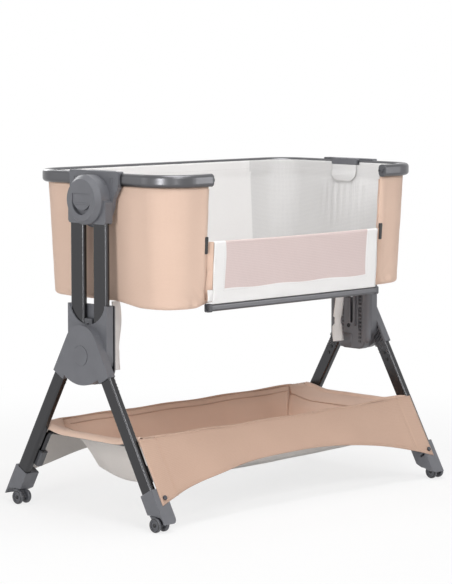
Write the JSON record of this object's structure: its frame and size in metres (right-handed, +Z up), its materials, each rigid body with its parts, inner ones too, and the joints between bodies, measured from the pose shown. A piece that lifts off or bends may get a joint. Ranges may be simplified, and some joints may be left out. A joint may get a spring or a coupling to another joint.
{
  "type": "bedside bassinet",
  "caption": "Fabric bedside bassinet with a drop front on a height-adjustable A-leg stand, with swing pivots, release levers, rolling casters and a hammock basket below.",
  "frame": {"origin": "On the floor, in the middle of the footprint.", "axes": "X runs along the length, Y from the drop front (-Y) to the rear, Z up."},
  "size_m": [1.0102, 0.567, 0.817],
  "materials": {
    "dark_tube": "satin dark grey powder coat on steel tube",
    "rail_tube": "satin grey powder coat on aluminium tube",
    "grey_plastic": "fine-grained moulded plastic",
    "dark_plastic": "fine-grained moulded plastic",
    "wheel_grey": "smooth tread with a dished face",
    "bare_steel": "turned",
    "zip_metal": "dull nickel",
    "peach_fabric": "close plain weave",
    "white_fabric": "soft knitted cover",
    "pink_mesh": "spacer mesh with a plain border",
    "board": "sanded fibreboard"
  },
  "bodies": {
    "stand": {"leg_left_front": "dark_tube", "leg_left_rear": "dark_tube", "leg_right_front": "dark_tube", "leg_right_rear": "dark_tube", "foot_left_front": "grey_plastic", "foot_left_rear": "grey_plastic", "foot_right_front": "grey_plastic", "foot_right_rear": "grey_plastic", "leg_cover_left": "grey_plastic", "leg_cover_right": "grey_plastic", "column_sleeve_left": "grey_plastic", "column_sleeve_right": "grey_plastic", "basket_hoop_left": "dark_tube", "basket_hoop_right": "dark_tube", "hoop_brackets": "dark_plastic", "leg_screws": "dark_plastic", "press_studs": "zip_metal", "basket_tray": "peach_fabric", "basket_skirt_front": "peach_fabric", "basket_skirt_rear": "peach_fabric"},
    "carriage": {"column_left_front": "dark_tube", "column_left_rear": "dark_tube", "column_right_front": "dark_tube", "column_right_rear": "dark_tube", "lock_block_left": "dark_plastic", "lock_block_right": "dark_plastic", "pivot_head_left": "grey_plastic", "pivot_head_right": "grey_plastic"},
    "basin": {"top_rail": "rail_tube", "basin_cover": "peach_fabric", "basin_lining": "white_fabric", "floor_board": "board", "mattress": "white_fabric", "drop_panel_inner": "pink_mesh", "drop_panel_outer": "pink_mesh", "rail_saddle_left": "grey_plastic", "rail_saddle_right": "grey_plastic", "rail_plug_left": "dark_plastic", "rail_plug_right": "dark_plastic", "pivot_pin_left": "bare_steel", "pivot_pin_right": "bare_steel", "bed_strap_left": "white_fabric", "bed_strap_right": "white_fabric"},
    "front_rail": {"front_rail": "rail_tube", "bar_cap_left": "dark_plastic", "bar_cap_right": "dark_plastic"},
    "lever_left": {"release_lever_left": "grey_plastic"},
    "lock_pin_left": {"lock_pin_left": "bare_steel"},
    "zip_left": {"zip_slider_left": "zip_metal"},
    "lever_right": {"release_lever_right": "grey_plastic"},
    "lock_pin_right": {"lock_pin_right": "bare_steel"},
    "zip_right": {"zip_slider_right": "zip_metal"},
    "caster_left_front": {"caster_yoke_left_front": "dark_plastic"},
    "wheels_left_front": {"caster_wheels_left_front": "wheel_grey"},
    "caster_left_rear": {"caster_yoke_left_rear": "dark_plastic"},
    "wheels_left_rear": {"caster_wheels_left_rear": "wheel_grey"},
    "caster_right_front": {"caster_yoke_right_front": "dark_plastic"},
    "wheels_right_front": {"caster_wheels_right_front": "wheel_grey"},
    "caster_right_rear": {"caster_yoke_right_rear": "dark_plastic"},
    "wheels_right_rear": {"caster_wheels_right_rear": "wheel_grey"}
  },
  "joints": [
    {"name": "height", "type": "slide", "parent": "stand", "child": "carriage", "axis": [0, 0, 1], "range_m": [-0.065, 0]},
    {"name": "swing", "type": "hinge", "parent": "carriage", "child": "basin", "pos_m": [0, 0, 0.75], "axis": [1, 0, 0], "range_deg": [-8, 8]},
    {"name": "front_rail", "type": "slide", "parent": "basin", "child": "front_rail", "axis": [0, -0.0509, 0.9987], "range_m": [0, 0.30039], "deforming": ["drop_panel_outer"]},
    {"name": "lever_left", "type": "hinge", "parent": "carriage", "child": "lever_left", "pos_m": [-0.489, 0, 0.761], "axis": [0, 1, 0], "range_deg": [0, 14], "stiffness_Nm_per_rad": 0.5},
    {"name": "lock_left", "type": "slide", "parent": "carriage", "child": "lock_pin_left", "axis": [-1, 0, 0], "range_m": [0, 0.005]},
    {"name": "zip_left", "type": "slide", "parent": "basin", "child": "zip_left", "axis": [0, -0.0509, 0.9987], "range_m": [-0.112, 0.1]},
    {"name": "lever_right", "type": "hinge", "parent": "carriage", "child": "lever_right", "pos_m": [0.489, 0, 0.761], "axis": [0, -1, 0], "range_deg": [0, 14], "stiffness_Nm_per_rad": 0.5},
    {"name": "lock_right", "type": "slide", "parent": "carriage", "child": "lock_pin_right", "axis": [1, 0, 0], "range_m": [0, 0.005]},
    {"name": "zip_right", "type": "slide", "parent": "basin", "child": "zip_right", "axis": [0, -0.0509, 0.9987], "range_m": [-0.112, 0.1]},
    {"name": "swivel_left_front", "type": "hinge", "parent": "stand", "child": "caster_left_front", "pos_m": [-0.488, -0.2435, 0.04], "axis": [0, 0, 1], "continuous": true},
    {"name": "roll_left_front", "type": "hinge", "parent": "caster_left_front", "child": "wheels_left_front", "pos_m": [-0.488, -0.2585, 0.017], "axis": [1, 0, 0], "continuous": true},
    {"name": "swivel_left_rear", "type": "hinge", "parent": "stand", "child": "caster_left_rear", "pos_m": [-0.488, 0.2435, 0.04], "axis": [0, 0, 1], "continuous": true},
    {"name": "roll_left_rear", "type": "hinge", "parent": "caster_left_rear", "child": "wheels_left_rear", "pos_m": [-0.488, 0.2285, 0.017], "axis": [1, 0, 0], "continuous": true},
    {"name": "swivel_right_front", "type": "hinge", "parent": "stand", "child": "caster_right_front", "pos_m": [0.488, -0.2435, 0.04], "axis": [0, 0, 1], "continuous": true},
    {"name": "roll_right_front", "type": "hinge", "parent": "caster_right_front", "child": "wheels_right_front", "pos_m": [0.488, -0.2585, 0.017], "axis": [1, 0, 0], "continuous": true},
    {"name": "swivel_right_rear", "type": "hinge", "parent": "stand", "child": "caster_right_rear", "pos_m": [0.488, 0.2435, 0.04], "axis": [0, 0, 1], "continuous": true},
    {"name": "roll_right_rear", "type": "hinge", "parent": "caster_right_rear", "child": "wheels_right_rear", "pos_m": [0.488, 0.2285, 0.017], "axis": [1, 0, 0], "continuous": true}
  ],
  "couplings": [
    {"joint": "lock_left", "follows": "lever_left", "m_per_rad": 0.0204},
    {"joint": "lock_right", "follows": "lever_right", "m_per_rad": 0.0204}
  ]
}
